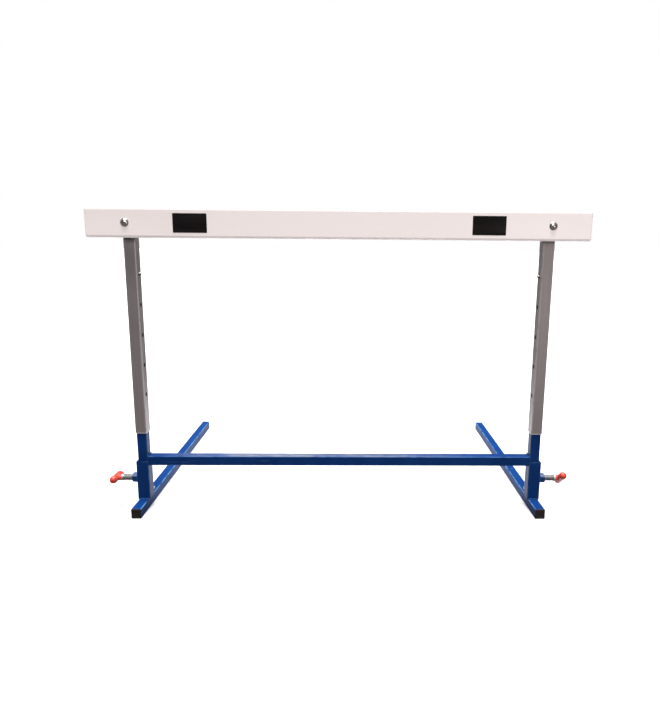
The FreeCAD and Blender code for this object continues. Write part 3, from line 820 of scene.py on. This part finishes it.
# The outer uprights: square steel tubes in a satin grey coat that slide over
# the inner ones. The snap buttons have rubbed bright rings round the height
# holes, and the sliding has drawn long fine marks down the faces.

UPPER_HALF = 0.0143
TOP_PLUG_Z = 0.759

grey_coat, place = surface("grey_coat")
cloud = grain(place, 12).step(0.35, 0.7)
fleck = grain(place, 2600, 1)
streaks = grain(place, 620, 3, (1, 1, 0.012)).step(0.35, 0.65)
drawn = grain(place, 70, 6, (1, 1, 0.04)).step(0.60, 0.70) * grain(place, 8).step(0.45, 0.65)
# Paler corners, strongest on the inner ones: a painted highlight.
lit_inner_corners = 0.2 + abs(place.axis("X")).step(TUBE_X + 0.003, TUBE_X - 0.003) * 0.8
edge_highlight = corners(place, UPPER_HALF, 0.004, X=TUBE_X, Y=UPRIGHT_Y)
edge_highlight = edge_highlight * grain(place, 60, 4).step(0.2, 0.5) * lit_inner_corners
across = offset(place, "Y", UPRIGHT_Y)
ring = from_hole(place).step(0.0078, 0.0052) * grain(place, 350, 4).step(0.35, 0.6)
track = across.step(0.0036, 0.0018) * grain(place, 90, 5, (1, 1, 0.05)).step(0.45, 0.6)
side_face = offset(place, "X", TUBE_X).step(0.0132, 0.0140)
rubbed = ring.calc("MAXIMUM", ring * 0.4, track * 0.25) * side_face
# Near-black painted shade in and round the height holes, without shine there.
hole_shade = from_hole(place).step(0.0058, 0.0051)
height = place.axis("Z")
# A painted highlight along the lower end.
lower_end_highlight = height.step(0.2050, 0.2030) * grain(place, 150, 3).step(0.2, 0.5)
# A painted shadow under the board, across the top of the front faces.
board_shadow = height.step(0.683, 0.691) * place.axis("Y").step(-0.284, -0.288)
tone = (cloud * 0.7).mix((0.160, 0.134, 0.138), (0.196, 0.166, 0.169))
tone = (streaks * 0.35).mix(tone, (0.230, 0.202, 0.202))
tone = (fleck * 0.2).mix(tone, (0.31, 0.285, 0.285))
tone = (drawn * 0.5).mix(tone, (0.35, 0.33, 0.33))
tone = (edge_highlight * 0.6).mix(tone, (0.42, 0.385, 0.385))
tone = (board_shadow * 0.75).mix(tone, (0.035, 0.030, 0.028))
tone = (rubbed * 0.8).mix(tone, (0.50, 0.49, 0.48))
tone = (lower_end_highlight * 0.7).mix(tone, (0.56, 0.57, 0.57))
tone = hole_shade.mix(tone, (0.004, 0.004, 0.004))
shade(
    grey_coat,
    Base_Color=tone,
    Metallic=(0.32 + rubbed * 0.5) * (1 - hole_shade),
    Roughness=0.38 + cloud * 0.06 + drawn * 0.1 - edge_highlight * 0.06 + hole_shade * 0.5,
    Normal=relief(grain(place, 700, 2) * 0.8 + drawn * 0.3, 0.3, 0.00022),
)
dress(grey_coat, "outer_upright")

top_plug = plug(2 * UPPER_HALF, 0.0022)
for side, sign in SIDES.items():
    piece = twin(top_plug, f"top_plug_{side}")
    move(piece, (sign * TUBE_X, UPRIGHT_Y, TOP_PLUG_Z))
    settle(piece, black_plastic, "bar_carriage", "black_plastic", f"top_cap_{side}")
bpy.data.objects.remove(top_plug)


# The crossbar: a hollow board of white plastic with two inner ribs, drawn
# through a die, and a moulded cap pushed into each end. Its face has faint die
# lines, thumbed and knocked patches, and a soft sheen.

white_plastic, place = surface("white_plastic")
die = grain(place, 260, 2, (0.008, 1, 1))
sink = grain(place, 18, 2, (0.03, 1, 1))
grime = grain(place, 7, 5, (0.5, 1, 1)).step(0.45, 0.75)
scrapes = grain(place, 42, 6, (0.25, 1, 2.2)).step(0.66, 0.72) * grain(place, 6).step(0.5, 0.68)
specks = grain(place, 900, 2).step(0.72, 0.78)
tone = (grime * 0.6).mix((0.83, 0.750, 0.738), (0.77, 0.690, 0.676))
tone = (scrapes * 0.30).mix(tone, (0.42, 0.40, 0.40))
tone = (specks * 0.35).mix(tone, (0.35, 0.33, 0.32))
shade(
    white_plastic,
    Base_Color=tone,
    Roughness=0.34 + grime * 0.08 + scrapes * 0.2,
    Normal=relief(die * 0.4 + sink * 0.4 + scrapes * 0.15, 0.12, 0.0005),
)
dress(white_plastic, "crossbar_board", "end_cap")


# A glossy black marker is stuck on the board on each side of the middle. The
# film follows the small waves of the plastic under it.

black_film, place = surface("black_film")
wave = grain(place, 42, 3, (0.12, 1, 1))
dust = grain(place, 600, 4).step(0.6, 0.74)
tone = wave.step(0.35, 0.65).mix((0.005, 0.0045, 0.0045), (0.011, 0.009, 0.009))
shade(
    black_film,
    Base_Color=(dust * 0.20).mix(tone, (0.05, 0.046, 0.044)),
    Roughness=0.07 + wave * 0.06 + dust * 0.12,
    Normal=relief(wave, 0.35, 0.0009),
    Specular_IOR_Level=0.22,
)
dress(black_film, "marker")


# Domed bolts clamp the board on the outer uprights. Each passes through a
# spacer tube in the board and has a washer and a hexagon nut behind.

BOLT_Z = 0.727
BOLT_SHANK = 0.0621
BOARD_FRONT = -0.3113
WASHER_BACK = -0.2591

chrome, place = surface("bright_bolt")
smear = grain(place, 500, 4).step(0.4, 0.7)
shade(
    chrome,
    Base_Color=(smear * 0.6).mix((0.40, 0.365, 0.36), (0.28, 0.255, 0.25)),
    Metallic=1.0,
    Roughness=0.17 + smear * 0.12,
    Normal=relief(grain(place, 1500, 2), 0.15, 0.0001),
)
dress(zinc, "bar_washer", "bar_spacer")

for side, sign in SIDES.items():
    bpy.ops.mesh.primitive_uv_sphere_add(
        segments=64, ring_count=64, radius=0.0125, location=(0, 0, -0.0075)
    )
    bolt = begin(f"domed_bolt_{side}")
    pick(bolt, "FACE", lambda middle, normal: True)
    bpy.ops.mesh.bisect(plane_co=(0, 0, 0), plane_no=(0, 0, -1), use_fill=True, clear_outer=True)
    pick(bolt, "FACE", lambda middle, normal: normal.z < -0.99)
    bpy.ops.mesh.inset(thickness=0.006, depth=0)
    bpy.ops.mesh.extrude_region_move(TRANSFORM_OT_translate={"value": (0, 0, -BOLT_SHANK)})
    bpy.ops.mesh.inset(thickness=0.0006, depth=0.0006)
    outward(bolt)
    move(bolt, (sign * TUBE_X, BOARD_FRONT, BOLT_Z), (90, 0, 0))
    settle(bolt, chrome, "bar_carriage", "bright_bolt", f"bar_bolt_{side}", angle=25)

    nut = hexagon(SMALL_HEX, 0.0065, both_ends=True)
    bpy.ops.mesh.primitive_cylinder_add(vertices=48, radius=0.00405, depth=0.02)
    combine(nut, begin("thread_hole"), "DIFFERENCE")
    outward(nut)
    nut.name = f"board_nut_{side}"
    move(nut, (sign * TUBE_X, WASHER_BACK, BOLT_Z), (-90, 0, 0))
    settle(nut, zinc, "bar_carriage", "zinc", f"bar_nut_{side}", angle=20)
